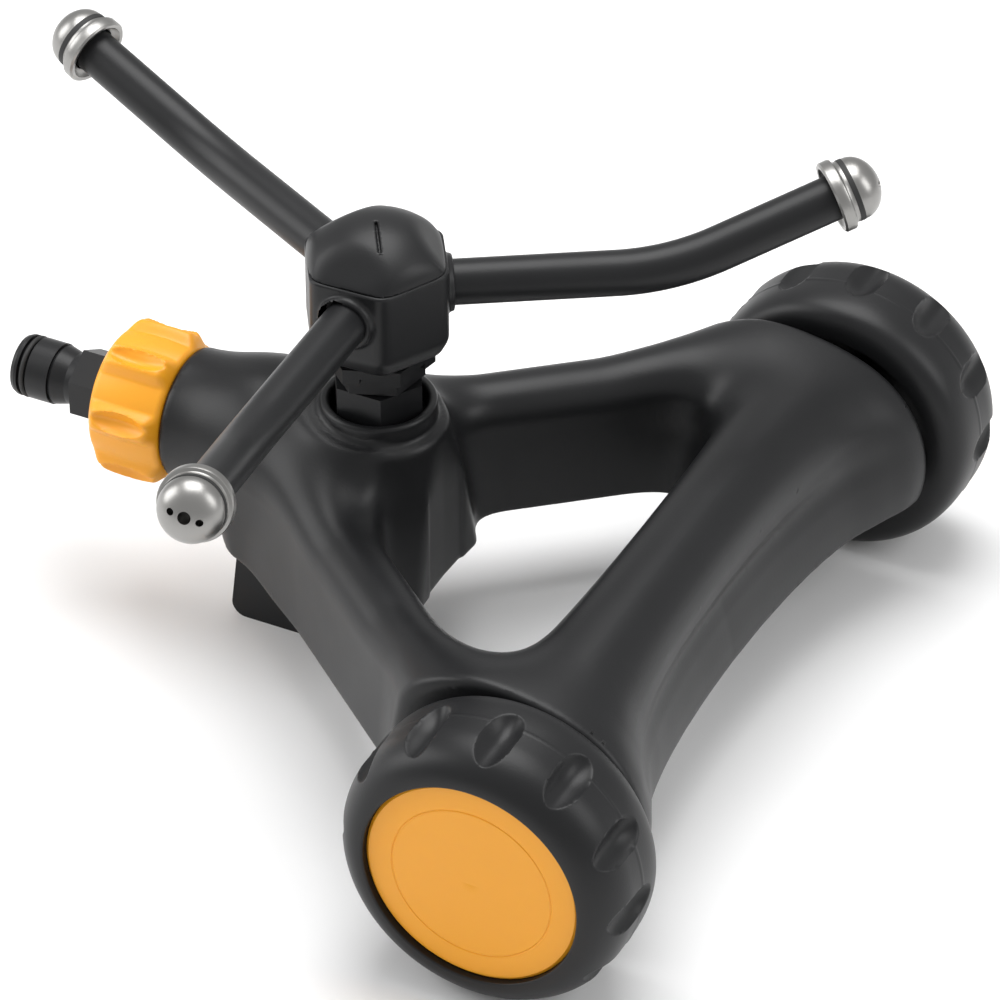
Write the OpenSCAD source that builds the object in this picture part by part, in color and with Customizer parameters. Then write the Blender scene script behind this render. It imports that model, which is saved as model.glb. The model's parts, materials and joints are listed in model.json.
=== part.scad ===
// Three-armed rotating garden sprinkler on a wheeled base.
// The origin is on the ground, under the rotor's axis. -X is the hose side, +Z is up.

/* [Overall] */
// Distance from the rotor's axis to the wheels' axis
wheelbase = 85.5; // [71:0.25:100]
// Width over the outer faces of the two wheels
track_w = 239; // [210:1:290]
// Height of the hose inlet's axis above the ground
inlet_h = 56; // [54:0.5:60]
// Distance from the rotor's axis to the mouth of the neck
neck_len = 55; // [50:0.5:66]

/* [Base shell] */
// Height of the axles above the base's open underside
axle_rise = 11; // [10:0.5:13]
// Wall thickness of the shell
wall = 2.6; // [2:0.1:3.2]
// Radius of the shell's round ends, beside the wheels
end_r = 30.6; // [28:0.1:33]
// Gap between each end of the shell and its wheel
end_gap = 7.2; // [5:0.1:10]
// Radius of the neck's round mouth
neck_r = 17.5; // [16:0.1:19]
// Height of the top of the neck and tower
tower_top = 72; // [70:0.5:78]
// Outer radius of the round collar on top of the tower
collar_r = 15; // [14:0.1:17]
// Height of the collar above the tower
collar_h = 6.5; // [5:0.1:8]
// Half width of each leg
leg_hw = 9.5; // [8:0.1:12]
// Height of the ridge along each leg
leg_top = 63; // [58:0.5:68]
// Half width of the cross-member at its waist
waist_hw = 14.4; // [12:0.1:18]
// Thickness of the cover that closes the underside
cover_t = 2.5; // [2:0.1:4]
// Gap all round between the cover and the shell's wall
cover_gap = 0.2; // [0.1:0.05:0.4]

/* [Rear foot] */
// Width of the foot
foot_w = 13; // [10:0.5:20]
// Distance from the rotor's axis to the foot's tail end
foot_len = 41; // [34:0.5:50]
// Distance that the foot reaches past the rotor's axis, towards the wheels
foot_lap = 8; // [6:0.5:12]

/* [Wheels] */
// Diameter of the wheel over its tread
wheel_d = 76; // [63:0.1:90]
// Width of the wheel from its outer face to its inner lip
wheel_w = 30; // [26:0.5:36]
// Radius of the wheel's open inner lip
lip_r = 29.7; // [26:0.1:32]
// Wall thickness of the wheel
wheel_wall = 3; // [2.5:0.1:4]
// Number of scoops round the tread
scoops = 12; // [6:1:18]
// Length of each scoop
scoop_len = 18; // [12:0.5:22]
// Width of each scoop
scoop_w = 9.5; // [6:0.1:12]
// Radius of the cap in the wheel's outer face
cap_r = 28.3; // [24:0.1:30]
// Depth of the cap's face below the wheel's outer face
cap_inset = 1.6; // [1:0.1:3]
// Diameter of the axle pin
axle_d = 6; // [5:0.1:8]

/* [Rotor] */
// Radius of the rotor housing over its rounded corners
hub_r = 18.9; // [17:0.1:22]
// Height of the housing below its joint with the cap
hub_h = 25; // [23:0.5:30]
// Height of the domed cap
dome_h = 10.5; // [8:0.1:14]
// Height of the nut on top of the tower
nut_h = 13.5; // [10:0.5:18]
// Height of the gland nut under the housing
gland_h = 8.6; // [7:0.1:12]
// Outer diameter of the fixed riser pipe
riser_d = 10; // [9:0.1:12]
// Radial clearance of everything that turns on a pin or a pipe
running_gap = 0.08; // [0.02:0.01:0.1]

/* [Arms] */
// Outer diameter of the arm's tube
arm_d = 11.7; // [10:0.1:13]
// Wall thickness of the arm's tube
arm_wall = 1.6; // [1.2:0.1:2.2]
// Direction of the first arm, anticlockwise from the wheels' side
arm_az = 32; // [0:1:119]
// Distance from the rotor's axis to the corner of the arm's bend
arm_knee = 73.8; // [60:0.1:90]
// Length of the tube from the corner of the bend to its outer end
arm_tail = 52; // [40:0.1:65]
// Angle of the bend
arm_bend = 20.8; // [10:0.1:35]
// Lean of the bend away from straight up
arm_roll = 34; // [0:1:60]

/* [Nozzles] */
// Outer radius of the nozzle cap
nozzle_r = 9.3; // [8.5:0.1:11]
// Length of the nozzle cap, from its lip to the top of its dome
nozzle_len = 13; // [11.5:0.1:16]
// Radius of the middle jet
jet_r = 1.65; // [1:0.05:2.5]
// Radius of the two side jets
side_jet_r = 0.9; // [0.5:0.05:1.3]
// Distance from the middle jet to each side jet
jet_pitch = 3.6; // [3:0.1:4.5]

/* [Hose inlet] */
// Outer radius of the quick connector's nose
nose_r = 8.2; // [7.8:0.1:8.6]
// Length of the flow ring
ring_w = 20.6; // [16:0.1:24]
// Outer radius of the flow ring between its lobes
ring_r = 18.5; // [18:0.1:21]
// Number of lobes round the flow ring
lobes = 7; // [4:1:8]

/* [Hidden] */
$fn = 64;
eps = 0.01;
black = [0.12, 0.12, 0.13];
orange = [0.92, 0.60, 0.14];
steel = [0.72, 0.72, 0.70];
seal_black = [0.05, 0.05, 0.05];

wheel_r = wheel_d / 2;
shell_bottom = wheel_r - axle_rise;
wheel_face = track_w / 2;
lip_y = wheel_face - wheel_w;
end_y = lip_y - end_gap;
sides = [["right", -1], ["left", 1]];

function mix(a, b, t) = a + (b - a) * t;

// ---- Base outlines: each is drawn at a distance inside the outer skin ----

// Every outline runs down past the open underside, where base_shell cuts it off
low = shell_bottom - 6;

// A flat-bottomed arch, half as wide as hw, up to z = top
module arch(hw, top, inset) {
    translate([0, top - hw]) circle(r = hw - inset);
    translate([inset - hw, low]) square([2 * (hw - inset), top - hw - low]);
}

leg_heading = 39.8;
leg_offset = 21.85;
leg_start = -22;
leg_end = 98;
module leg_body(side, inset) {
    intersection() {
        rotate([0, 0, side * leg_heading]) translate([leg_start + inset, side * leg_offset, 0])
            rotate([90, 0, 90]) linear_extrude(leg_end - leg_start - inset) arch(leg_hw, leg_top, inset);
        translate([-wheelbase, inset - end_y, 0]) cube([3 * wheelbase, 2 * (end_y - inset),
            2 * tower_top]);
    }
}

skirt_front = -44;
skirt_hw = 8;
skirt_back = -22;
module neck_body(inset) {
    open = inset > 0 ? 1 : 0;
    translate([-neck_len - open, 0, inlet_h]) rotate([0, 90, 0]) cylinder(r = neck_r - inset,
        h = neck_len + open);
    translate([0, 0, low]) linear_extrude(inlet_h - low)
        polygon([[skirt_front + inset, skirt_hw - inset], [skirt_back, neck_r + 1 - inset], [0,
            neck_r + 1 - inset],
                 [0, inset - neck_r - 1], [skirt_back, inset - neck_r - 1], [skirt_front + inset,
                     inset - skirt_hw]]);
}

tower_profile = [[28, shell_bottom - 6], [24.5, 42], [21, 58], [17.7, tower_top]];
module tower_body(inset) {
    rotate_extrude() polygon([[0, low], [tower_profile[0][0] - inset, low],
                              for (i = [1 : 2]) [tower_profile[i][0] - inset, tower_profile[i][1]],
                              [tower_profile[3][0] - inset, tower_top - inset], [0, tower_top - inset]]);
}

// The cross-member, and the flare at each of its ends
bar_top = 69;
bar_r = 12.75;
flare_end = 50;
flare_mid = 68;
flare_r = 18;
module bar_body(inset) {
    translate([wheelbase, end_y - inset, 0]) rotate([90, 0, 0]) linear_extrude(2 * (end_y - inset))
        union() {
        translate([0, bar_top - bar_r]) circle(r = bar_r - inset);
        polygon([[inset - waist_hw, low], [waist_hw - inset, low],
                 [bar_r - 1 - inset, bar_top - bar_r], [inset - bar_r + 1, bar_top - bar_r]]);
    }
    for (s = sides) intersection() {
        translate([wheelbase, 0, wheel_r]) rotate([-90 * s[1], 0, 0]) rotate_extrude()
            polygon([[0, flare_end], [bar_r - 2, flare_end], [flare_r - inset, flare_mid],
                     [end_r - 2 - inset, end_y - 3 - inset], [end_r - inset, end_y - inset], [0,
                         end_y - inset]]);
        translate([wheelbase - 50, -end_y, low]) cube([100, 2 * end_y, 100]);
    }
}

module base_solid(inset) {
    tower_body(inset);
    neck_body(inset);
    bar_body(inset);
    for (s = sides) leg_body(s[1], inset);
}

riser_hole_r = 7.1;
screw_spots = [[wheelbase, end_y - 22], [wheelbase, 22 - end_y], [-10, 20], [-10, -20]];
screw_r = 1.5;
screw_boss_r = 4;
bush_r = 7;
module base_shell() color(black) {
    difference() {
        union() {
            difference() {
                base_solid(0);
                base_solid(wall);
                translate([-neck_len, -wheel_face, low - 1])
                    cube([2 * neck_len + 2 * wheelbase, 2 * wheel_face, shell_bottom - low + 1]);
            }
            translate([0, 0, tower_top - wall]) cylinder(r = collar_r, h = collar_h + wall);
            intersection() {
                base_solid(wall / 2);
                for (p = screw_spots)
                    translate([p[0], p[1], shell_bottom + cover_t]) cylinder(r = screw_boss_r, h = 45);
            }
        }
        translate([0, 0, tower_top]) cylinder(r = collar_r - 2.5, h = collar_h + 1);
        translate([0, 0, tower_top - wall - 1]) cylinder(r = riser_hole_r, h = wall + 2);
        for (s = sides)
            translate([wheelbase, s[1] * (end_y - wall - 1), wheel_r])
                rotate([-90 * s[1], 0, 0]) cylinder(r = bush_r, h = wall + 2);
        for (p = screw_spots)
            translate([p[0], p[1], shell_bottom + cover_t - 1]) cylinder(r = screw_r, h = 12);
    }
}

module base_cover() color(black) {
    difference() {
        intersection() {
            base_solid(wall + cover_gap);
            translate([-neck_len, -end_y, shell_bottom])
                cube([wheelbase + neck_len + end_r, 2 * end_y, cover_t]);
        }
        for (p = screw_spots)
            translate([p[0], p[1], shell_bottom - 1]) cylinder(r = screw_r + 0.3, h = cover_t + 2);
        foot_block(0);
    }
}

screw_head_r = 3;
module cover_screws() color(steel) {
    for (p = screw_spots) translate([p[0], p[1], shell_bottom]) {
        translate([0, 0, -1.6]) cylinder(r = screw_head_r, h = 1.6);
        cylinder(r = screw_r - 0.1, h = 10);
    }
}

foot_top = 38;
foot_round = 4;
foot_slope = 4;
// The keel stands on the ground and reaches up through the cover
module foot_block(gap) {
    rotate([90, 0, 0]) translate([0, 0, -foot_w / 2 - gap]) linear_extrude(foot_w + 2 * gap)
        polygon([[foot_round - foot_len - gap, 0], [foot_lap - foot_round + gap, 0],
                 for (a = [-75 : 15 : 0]) [foot_lap - foot_round * (1 - cos(a)) + gap,
                                           foot_round * (1 + sin(a))],
                 [foot_lap + gap, foot_top], [foot_slope - foot_len - gap, foot_top],
                 for (a = [180 : 15 : 255]) [foot_round * (1 + cos(a)) - foot_len - gap,
                                             foot_round * (1 + sin(a))]]);
}

module rear_foot() color(black) foot_block(-eps);

// ---- Water path in the base ----

// A profile of [radius, x] points, turned about the X axis
module turned(profile) rotate([90, 0, 90]) rotate_extrude() polygon(profile);
module tube_x(x0, x1, r_out, r_in) turned([[r_in, x0], [r_out, x0], [r_out, x1], [r_in, x1]]);
module tube_z(z0, z1, r_out, r_in)
    rotate_extrude() polygon([[r_in, z0], [r_out, z0], [r_out, z1], [r_in, z1]]);

pipe_r = 8;
pipe_bore_r = 5;
socket_r = 10.5;
spigot_r = 7.5;
spigot_bore_r = 4.5;
gasket_t = 1.4;
ring_gap = 0.4;
mouth_x = -neck_len;
ring_front = mouth_x - ring_gap - ring_w;
ring_back = mouth_x - ring_gap;
ring_wall = 3;
ring_bore_r = ring_r - 3.3;
spigot_end = mouth_x - 2;
socket_front = mouth_x - 4;
socket_back = mouth_x + 4.5;
elbow_face = -18;
pipe_end = -9;

module neck_plug() color(black) translate([0, 0, inlet_h])
    tube_x(mouth_x + 0.6, mouth_x + 3.6, neck_r - wall - 0.15, socket_r);

module inlet_pipe() color(black) translate([0, 0, inlet_h])
    turned([[spigot_r, socket_front], [socket_r, socket_front], [socket_r, socket_back],
            [pipe_r, socket_back], [pipe_r, pipe_end], [pipe_bore_r, pipe_end],
            [pipe_bore_r, spigot_end + gasket_t], [spigot_r, spigot_end + gasket_t]]);

elbow_r = 13;
flange_r = 14;
flange_h = 6.4;
flange_top = tower_top - wall;
riser_r = riser_d / 2;
neck_nut_r = 7;
seal_t = 1.6;
nut_top = tower_top + nut_h;
neck_top = nut_top + 3;
gland_z = nut_top + 0.5;
gland_top = gland_z + gland_h;
washer_t = 1.1;
float_gap = 0.3;
hub_z = gland_top + washer_t + float_gap;
arm_h = hub_z + 16;
joint_z = hub_z + hub_h;

module water_elbow() color(black) difference() {
    union() {
        translate([0, 0, inlet_h - elbow_r + 1]) cylinder(r = elbow_r, h = flange_top - inlet_h
            + elbow_r - 1 - eps);
        translate([0, 0, flange_top - flange_h]) cylinder(r = flange_r, h = flange_h);
        translate([elbow_face, 0, inlet_h]) rotate([0, 90, 0]) cylinder(r = elbow_r - 1, h = -elbow_face);
        translate([0, 0, flange_top - 1]) cylinder(r = neck_nut_r, h = neck_top - flange_top + 1);
    }
    translate([elbow_face - 1, 0, inlet_h]) rotate([0, 90, 0]) cylinder(r = pipe_r,
        h = pipe_end - elbow_face + 1);
    translate([elbow_face - 1, 0, inlet_h]) rotate([0, 90, 0]) cylinder(r = pipe_r + seal_t,
        h = seal_t + 1);
    translate([elbow_face, 0, inlet_h]) rotate([0, 90, 0]) cylinder(r = pipe_bore_r, h = -elbow_face);
    translate([0, 0, inlet_h]) cylinder(r = riser_r, h = 60);
}

module elbow_seal() color(seal_black) translate([0, 0, inlet_h])
    tube_x(elbow_face, elbow_face + seal_t, pipe_r + seal_t, pipe_r);

chamber_z = hub_z + 7;
keeper_z = chamber_z + float_gap;
keeper_h = 3.6;
riser_top = keeper_z + keeper_h + 1;
module riser_pipe() color(steel)
    tube_z(inlet_h + pipe_bore_r + 0.5, riser_top, riser_r, riser_r - 1.3);

module riser_seal() color(seal_black) tube_z(neck_top, neck_top + seal_t, neck_nut_r, riser_r);

module hex_nut(r, z, h, bore) {
    difference() {
        translate([0, 0, z]) cylinder(r = r, h = h, $fn = 6);
        translate([0, 0, z - 1]) cylinder(r = bore, h = h + 2);
    }
}

module riser_nut() color(black) hex_nut(collar_r - 2.6, tower_top, nut_h, neck_nut_r);

gland_r = 14.6;
gland_notch = 1.6;
gland_low_h = 4.2;
gland_turn = 20;
module gland_nut() color(black) difference() {
    union() {
        rotate([0, 0, gland_turn]) hex_nut(gland_r, gland_z + gland_low_h, gland_h - gland_low_h,
            riser_r);
        rotate([0, 0, gland_turn]) hex_nut(gland_r - 2.6, gland_z, gland_low_h + 1, riser_r);
    }
    translate([0, 0, gland_z - 1]) cylinder(r = neck_nut_r, h = neck_top + seal_t - gland_z + 1);
    for (i = [0 : 5]) rotate([0, 0, gland_turn + 30 + 60 * i])
        translate([gland_r * cos(30) - gland_notch, -3, gland_z + gland_low_h - 1]) cube([4, 6, 2.8]);
}

module thrust_washer() color(steel) tube_z(gland_top, gland_top + washer_t, 11.5, riser_r);

// ---- Hose connector and flow ring ----

hex_r = 9.8;
hex_len = 10;
hex_x = ring_front - ring_gap - hex_len;
nose_x = hex_x - 18.6;
groove_x = nose_x + 2.4;
groove_w = 2.7;
groove_r = nose_r - 1.3;
o_ring_r = (nose_r + 0.1 - groove_r) / 2;
screen_r = 5.6;
screen_t = 1.2;
collar_x = nose_x + 11.4;
module hose_connector() color(black) translate([0, 0, inlet_h]) {
    difference() {
        union() {
            turned([[0, nose_x], [nose_r - 1.6, nose_x], [nose_r - 0.5, nose_x + 0.5],
                    [nose_r, nose_x + 1.6],
                    [nose_r, groove_x], [groove_r, groove_x], [groove_r, groove_x + groove_w],
                    [nose_r, groove_x + groove_w], [nose_r, collar_x], [nose_r - 0.8, collar_x],
                    [nose_r - 0.8, collar_x + 0.8], [nose_r - 0.3, collar_x + 0.8],
                    [nose_r - 1.3, hex_x - 2.6], [nose_r - 1, hex_x], [spigot_r, hex_x],
                    [spigot_r, spigot_end], [0, spigot_end]]);
            translate([hex_x, 0, 0]) rotate([0, 90, 0]) cylinder(r = hex_r, h = hex_len, $fn = 6);
        }
        translate([nose_x - 1, 0, 0]) rotate([0, 90, 0]) cylinder(r = spigot_bore_r, h = 80);
        translate([nose_x - 1, 0, 0]) rotate([0, 90, 0]) cylinder(r = screen_r, h = 1 + 2 * screen_t);
        tube_x(valve_seal_x, valve_seal_x + 1.4, spigot_r + 1, spigot_r - 1.2);
    }
}

module connector_seal() color(seal_black) translate([groove_x + groove_w / 2, 0, inlet_h])
    rotate([0, 90, 0]) rotate_extrude() translate([groove_r + o_ring_r, 0]) circle(r = o_ring_r,
        $fn = 24);

module connector_gasket() color(seal_black) translate([0, 0, inlet_h])
    tube_x(spigot_end, spigot_end + gasket_t, spigot_r, spigot_bore_r);

module filter_screen() color(steel) translate([nose_x + screen_t, 0, inlet_h]) rotate([0, 90, 0])
    difference() {
        cylinder(r = screen_r, h = screen_t);
        for (ring = [0 : 2], i = [0 : max(6 * ring - 1, 0)])
            rotate([0, 0, ring > 0 ? 60 * i / ring : 0]) translate([1.9 * ring, 0, -1])
                cylinder(r = 0.6, h = screen_t + 2, $fn = 16);
    }

// A round-bodied spindle with pointed ends, lying along X
spindle_steps = 8;
module spindle(len, r) turned([for (i = [0 : spindle_steps]) let (t = 2 * i / spindle_steps - 1)
                               [r * (1 - t * t), t * len / 2]]);

lobe_r = 5;
lobe_out = 2.7;
grip_r = 2.4;
ring_edge = 1.4;
module flow_ring() color(orange) translate([0, 0, inlet_h]) {
    mid = (ring_front + ring_back) / 2;
    difference() {
        union() {
            turned([[0, ring_front], [ring_r - ring_edge, ring_front], [ring_r - 0.4, ring_front + 0.5],
                    [ring_r, ring_front + ring_edge], [ring_r, ring_back - ring_edge],
                    [ring_r - 0.4, ring_back - 0.5], [ring_r - ring_edge, ring_back], [0, ring_back]]);
            for (i = [0 : lobes - 1]) rotate([360 * i / lobes + lobe_turn, 0, 0])
                translate([mid, 0, ring_r + lobe_out - lobe_r]) spindle(ring_w - 0.6, lobe_r);
        }
        for (i = [0 : lobes - 1]) rotate([360 * i / lobes + lobe_turn, 0, 0])
            translate([mid, 0, ring_r + lobe_out + grip_r - 1.3]) spindle(ring_w - 4, grip_r);
        translate([ring_front - 1, 0, 0]) rotate([0, 90, 0])
            cylinder(r = spigot_r + running_gap, h = ring_w + 2);
        translate([ring_front + ring_wall, 0, 0]) rotate([0, 90, 0]) cylinder(r = ring_bore_r,
            h = ring_w);
    }
}
lobe_turn = 13;

module valve_sleeve() color(black) translate([0, 0, inlet_h])
    tube_x(ring_front + ring_wall, socket_front - 1, socket_r, spigot_r + running_gap);

valve_seal_x = (ring_front + ring_wall + socket_front) / 2;
module valve_seal() color(seal_black) translate([0, 0, inlet_h])
    tube_x(valve_seal_x, valve_seal_x + 1.4, spigot_r, spigot_r - 1.2);

// ---- Wheels: drawn with the outer face at depth 0 and the depth running inwards ----

face_r = cap_r + 0.5;
edge_depth = 11.9;
tread_end = 17;
edge_steps = 8;
web_depth = 7;
web_t = 3;
boss_r = 7.5;
boss_end = wheel_w + 3.2;
axle_r = axle_d / 2;
rim_inner = wheel_r - wheel_wall - 1.2;
module wheel() {
    outer = concat(
        [for (i = [0 : edge_steps]) let (a = 90 * i / edge_steps)
         [face_r + (wheel_r - face_r) * sin(a), edge_depth * (1 - cos(a))]],
        [for (i = [0 : edge_steps]) let (t = i / edge_steps)
         [wheel_r - (wheel_r - lip_r) * t * t, mix(tread_end, wheel_w, t)]]);
    inner = [[lip_r - 1, wheel_w], [mix(rim_inner, lip_r, 0.55), mix(tread_end, wheel_w, 0.6)],
             [rim_inner, tread_end], [rim_inner - 3, web_depth + web_t],
             [boss_r, web_depth + web_t], [boss_r, boss_end], [axle_r + running_gap, boss_end],
             [axle_r + running_gap, web_depth], [cap_r + 0.1, web_depth], [cap_r + 0.1, 0]];
    difference() {
        rotate_extrude($fn = 96) polygon(concat(outer, inner));
        for (i = [0 : scoops - 1]) rotate([0, 0, 360 * (i + 0.5) / scoops])
            translate([wheel_r - scoop_deep + scoop_r, 0, scoop_depth]) rotate([0, scoop_tilt - 90, 0])
                spindle(scoop_len, scoop_r);
    }
}
scoop_deep = 3;
scoop_depth = 10.5;
scoop_tilt = 8;
scoop_r = (pow(scoop_w / 2, 2) + pow(scoop_deep, 2)) / (2 * scoop_deep);

// Puts a piece drawn with depth 0 at the wheel's outer face on one side of the base
module at_wheel(side) translate([wheelbase, side * wheel_face, wheel_r]) rotate([90 * side, 0, 0])
    children();
module ring_piece(d0, d1, r_out, r_in)
    rotate_extrude() polygon([[r_in, d0], [r_out, d0], [r_out, d1], [r_in, d1]]);

cap_t = 2.2;
cap_dome = 0.5;
line_r = 0.75 * cap_r;
module wheel_cap() rotate_extrude($fn = 96)
    polygon([[0, cap_inset - cap_dome], [line_r - 0.3, cap_inset - 0.2], [line_r, cap_inset],
             [line_r + 0.3, cap_inset - 0.2], [cap_r - 0.8, cap_inset], [cap_r, cap_inset + 0.6],
             [cap_r, cap_inset + cap_t], [cap_r - 1, cap_inset + cap_t], [cap_r - 1, web_depth],
             [cap_r - 3, web_depth], [cap_r - 3, cap_inset + cap_t], [0, cap_inset + cap_t]]);

clip_d1 = web_depth - float_gap;
clip_d0 = clip_d1 - 1;
axle_d0 = clip_d0 - 0.7;
bush_d0 = boss_end + float_gap;
bush_flange_r = 9.5;
end_depth = wheel_face - end_y;
bush_len = 10;
module axle_bush() ring_piece_pair(bush_d0, end_depth, end_depth + bush_len);
module ring_piece_pair(d0, d1, d2) rotate_extrude()
    polygon([[axle_r, d0], [bush_flange_r, d0], [bush_flange_r, d1], [bush_r, d1], [bush_r, d2],
        [axle_r, d2]]);

module axle_bush_left() color(black) at_wheel(1) axle_bush();
module axle_bush_right() color(black) at_wheel(-1) axle_bush();
module axle_left() color(steel) at_wheel(1) ring_piece(axle_d0, end_depth + bush_len + 2, axle_r, 0);
module axle_right() color(steel) at_wheel(-1) ring_piece(axle_d0, end_depth + bush_len + 2, axle_r, 0);
module axle_clip_left() color(steel) at_wheel(1) ring_piece(clip_d0, clip_d1, axle_r + 3, axle_r);
module axle_clip_right() color(steel) at_wheel(-1) ring_piece(clip_d0, clip_d1, axle_r + 3, axle_r);
module wheel_left() color(black) at_wheel(1) wheel();
module wheel_right() color(black) at_wheel(-1) wheel();
module wheel_cap_left() color(orange) at_wheel(1) wheel_cap();
module wheel_cap_right() color(orange) at_wheel(-1) wheel_cap();

// ---- Rotor ----

corner_r = 5;
function rounded_hexagon(r, rc) = [for (i = [0 : 5], a = [-30 : 7.5 : 30])
    [(r - rc) * cos(60 * i) + rc * cos(60 * i + a), (r - rc) * sin(60 * i) + rc * sin(60 * i + a)]];

chamber_r = 9.5;
bearing_r = 8;
seal_z = hub_z + 1.2;
seal_h = 2.4;
plug_h = 3;
arm_r = arm_d / 2;
arm_in = 10.5;
groove_at = 12.7;
groove_len = 1.6;
seal_r = arm_r + 1.3;
arm_face = (hub_r - corner_r) * cos(30) + corner_r;

module along_arm(k) translate([0, 0, arm_h]) rotate([0, 0, arm_az + 120 * (k - 1)]) rotate([-arm_roll,
    0, 0]) children();
module along_tail(k) along_arm(k) translate([arm_knee, 0, 0]) rotate([0, -arm_bend, 0]) children();

module rotor_housing() color(black) difference() {
    union() {
        intersection() {
            rotate([0, 0, arm_az + 30]) translate([0, 0, hub_z]) linear_extrude(hub_h)
                polygon(rounded_hexagon(hub_r, corner_r));
            rotate_extrude() polygon([[0, hub_z], [hub_r - 2.6, hub_z], [hub_r + 1, hub_z + 3],
                                      [hub_r + 1, joint_z], [0, joint_z]]);
        }
        for (k = [1 : 3]) along_arm(k) translate([arm_face - 6, 0, 0]) rotate([0, 90, 0])
            cylinder(r = arm_r + 1.4, h = 7);
    }
    translate([0, 0, hub_z - 1]) cylinder(r = riser_r + 0.6, h = 10);
    translate([0, 0, seal_z]) cylinder(r = bearing_r, h = chamber_z - seal_z + 1);
    translate([0, 0, chamber_z]) cylinder(r = chamber_r, h = hub_h);
    for (k = [1 : 3]) along_arm(k) {
        translate([chamber_r - 3, 0, 0]) rotate([0, 90, 0]) cylinder(r = arm_r, h = 20);
        translate([groove_at, 0, 0]) rotate([0, 90, 0]) cylinder(r = seal_r, h = groove_len);
    }
}

module rotor_bearing() color(steel)
    tube_z(seal_z + seal_h, chamber_z, bearing_r, riser_r + running_gap);
module rotor_seal() color(seal_black)
    tube_z(seal_z, seal_z + seal_h, bearing_r, riser_r + running_gap);
module retaining_nut() color(steel) hex_nut(bearing_r, keeper_z, keeper_h, riser_r);

dome_r = (pow(hub_r, 2) + pow(dome_h - 1, 2)) / (2 * (dome_h - 1));
slot_len = 10.5;
slot_az = -57;
module rotor_cap() color(black) difference() {
    union() {
        intersection() {
            rotate([0, 0, arm_az + 30]) translate([0, 0, joint_z]) linear_extrude(dome_h + 1)
                polygon(rounded_hexagon(hub_r, corner_r));
            translate([0, 0, joint_z + dome_h - dome_r]) sphere(r = dome_r, $fn = 96);
        }
        translate([0, 0, joint_z - plug_h]) cylinder(r = chamber_r, h = plug_h + 1);
    }
    rotate([0, 0, slot_az]) translate([0, -0.4, joint_z + dome_h - 3.5]) cube([slot_len, 0.8, 5]);
}

// ---- Arms and nozzles ----

tail_flange_r = nozzle_r - 1;
tail_flange_len = 5;
nozzle_lip = arm_tail + 5.2 - nozzle_len;
tail_seal_x = arm_tail - 3.2;
knee_bead = 0.15;
module arm_rod(r) {
    translate([arm_in, 0, 0]) rotate([0, 90, 0]) cylinder(r = r, h = arm_knee - arm_in);
    translate([arm_knee, 0, 0]) sphere(r = r + knee_bead);
}

module arm(k) {
    bore = arm_r - arm_wall;
    difference() {
        union() {
            along_arm(k) arm_rod(arm_r);
            along_tail(k) tube_x(0, arm_tail, arm_r, 0);
            along_tail(k) tube_x(arm_tail - tail_flange_len, arm_tail, tail_flange_r, arm_r - 1);
        }
        along_arm(k) arm_rod(bore);
        along_tail(k) tube_x(0, arm_tail + 1, bore, 0);
        along_tail(k) tube_x(tail_seal_x, tail_seal_x + 1.4, tail_flange_r + 1, tail_flange_r - 1.1);
    }
}

module arm_seal(k) along_arm(k) tube_x(groove_at, groove_at + groove_len, seal_r, arm_r);
module nozzle_seal(k) along_tail(k)
    tube_x(tail_seal_x, tail_seal_x + 1.4, tail_flange_r, tail_flange_r - 1.1);

crimp_r = arm_r + 0.6;
dome_start = 3.6;
jet_turn = -69;
module nozzle(k) along_tail(k) {
    apex = nozzle_lip + nozzle_len;
    shoulder = apex - dome_start;
    sphere_r = (pow(nozzle_r - 0.5, 2) + pow(dome_start, 2)) / (2 * dome_start);
    inner = tail_flange_r + running_gap;
    crimp_x = arm_tail - tail_flange_len - float_gap;
    difference() {
        turned(concat(
            [[0, arm_tail + 0.4], [inner, arm_tail + 0.4], [inner, crimp_x], [crimp_r, crimp_x],
             [crimp_r, crimp_x - 0.8], [nozzle_r - 0.9, crimp_x - 0.8], [nozzle_r - 0.4, nozzle_lip],
             [nozzle_r + 0.2, nozzle_lip], [nozzle_r - 0.3, nozzle_lip + 1.5], [nozzle_r - 0.5,
                 shoulder]],
            [for (i = [1 : 8]) let (a = asin((nozzle_r - 0.5) / sphere_r) * (1 - i / 8))
             [sphere_r * sin(a), apex - sphere_r + sphere_r * cos(a)]]));
        translate([arm_tail - 1, 0, 0]) rotate([0, 90, 0]) cylinder(r = arm_r, h = 2.6);
        for (j = [-1 : 1]) rotate([jet_turn, 0, 0]) translate([arm_tail, 0, jet_pitch * j]) rotate([0,
            90, 0])
            cylinder(r = j == 0 ? jet_r : side_jet_r, h = 10, $fn = 32);
    }
}

module arm_1() color(black) arm(1);
module arm_2() color(black) arm(2);
module arm_3() color(black) arm(3);
module arm_seal_1() color(seal_black) arm_seal(1);
module arm_seal_2() color(seal_black) arm_seal(2);
module arm_seal_3() color(seal_black) arm_seal(3);
module nozzle_1() color(steel) nozzle(1);
module nozzle_2() color(steel) nozzle(2);
module nozzle_3() color(steel) nozzle(3);
module nozzle_seal_1() color(seal_black) nozzle_seal(1);
module nozzle_seal_2() color(seal_black) nozzle_seal(2);
module nozzle_seal_3() color(seal_black) nozzle_seal(3);

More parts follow.
